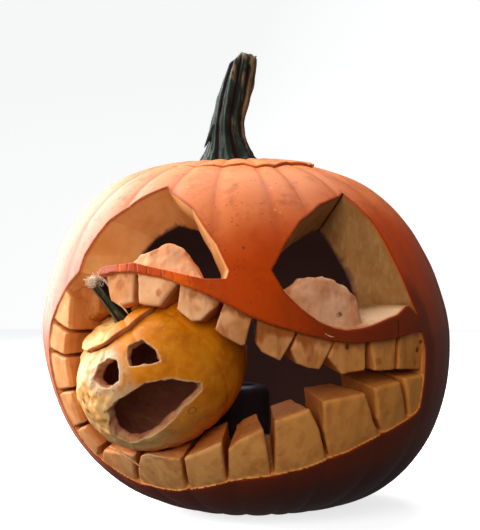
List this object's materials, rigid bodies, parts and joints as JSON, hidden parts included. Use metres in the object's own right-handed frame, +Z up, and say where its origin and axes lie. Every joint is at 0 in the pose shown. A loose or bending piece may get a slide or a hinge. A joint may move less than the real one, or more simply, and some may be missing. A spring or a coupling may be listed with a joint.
{
  "type": "carved pumpkin lantern",
  "caption": "Hollow carved pumpkin with slanting eyes and a wide toothed mouth that bites a small carved pumpkin, with a lift-out stalk lid and a dark candle jar inside.",
  "frame": {"origin": "on the flat spot that the lantern rests on, under the middle of its waist", "axes": "+Z up along the stalk, -Y out of the carved face, +X to the right of someone who faces it"},
  "size_m": [0.3179, 0.3167, 0.3612],
  "materials": {
    "rind": "satin orange pumpkin rind, stands in for a vegetable skin",
    "flesh": "moist matt cut pumpkin flesh, tan where it has dried",
    "lid_rind": "satin orange pumpkin rind",
    "stalk": "dry ridged dark green stalk with tan streaks",
    "pale_rind": "yellow-orange small pumpkin rind, pale and bumpy in places",
    "pale_flesh": "moist pale yellow cut flesh",
    "pale_lid": "yellow-orange rind with a tan cut band",
    "pale_stalk": "dry pale stalk with a frayed cream tip",
    "glaze": "glossy near-black candle jar"
  },
  "bodies": {
    "root": {"pumpkin": "rind", "lid": "lid_rind", "small_pumpkin": "pale_rind", "small_lid": "pale_lid", "candle_jar": "glaze"}
  },
  "joints": []
}
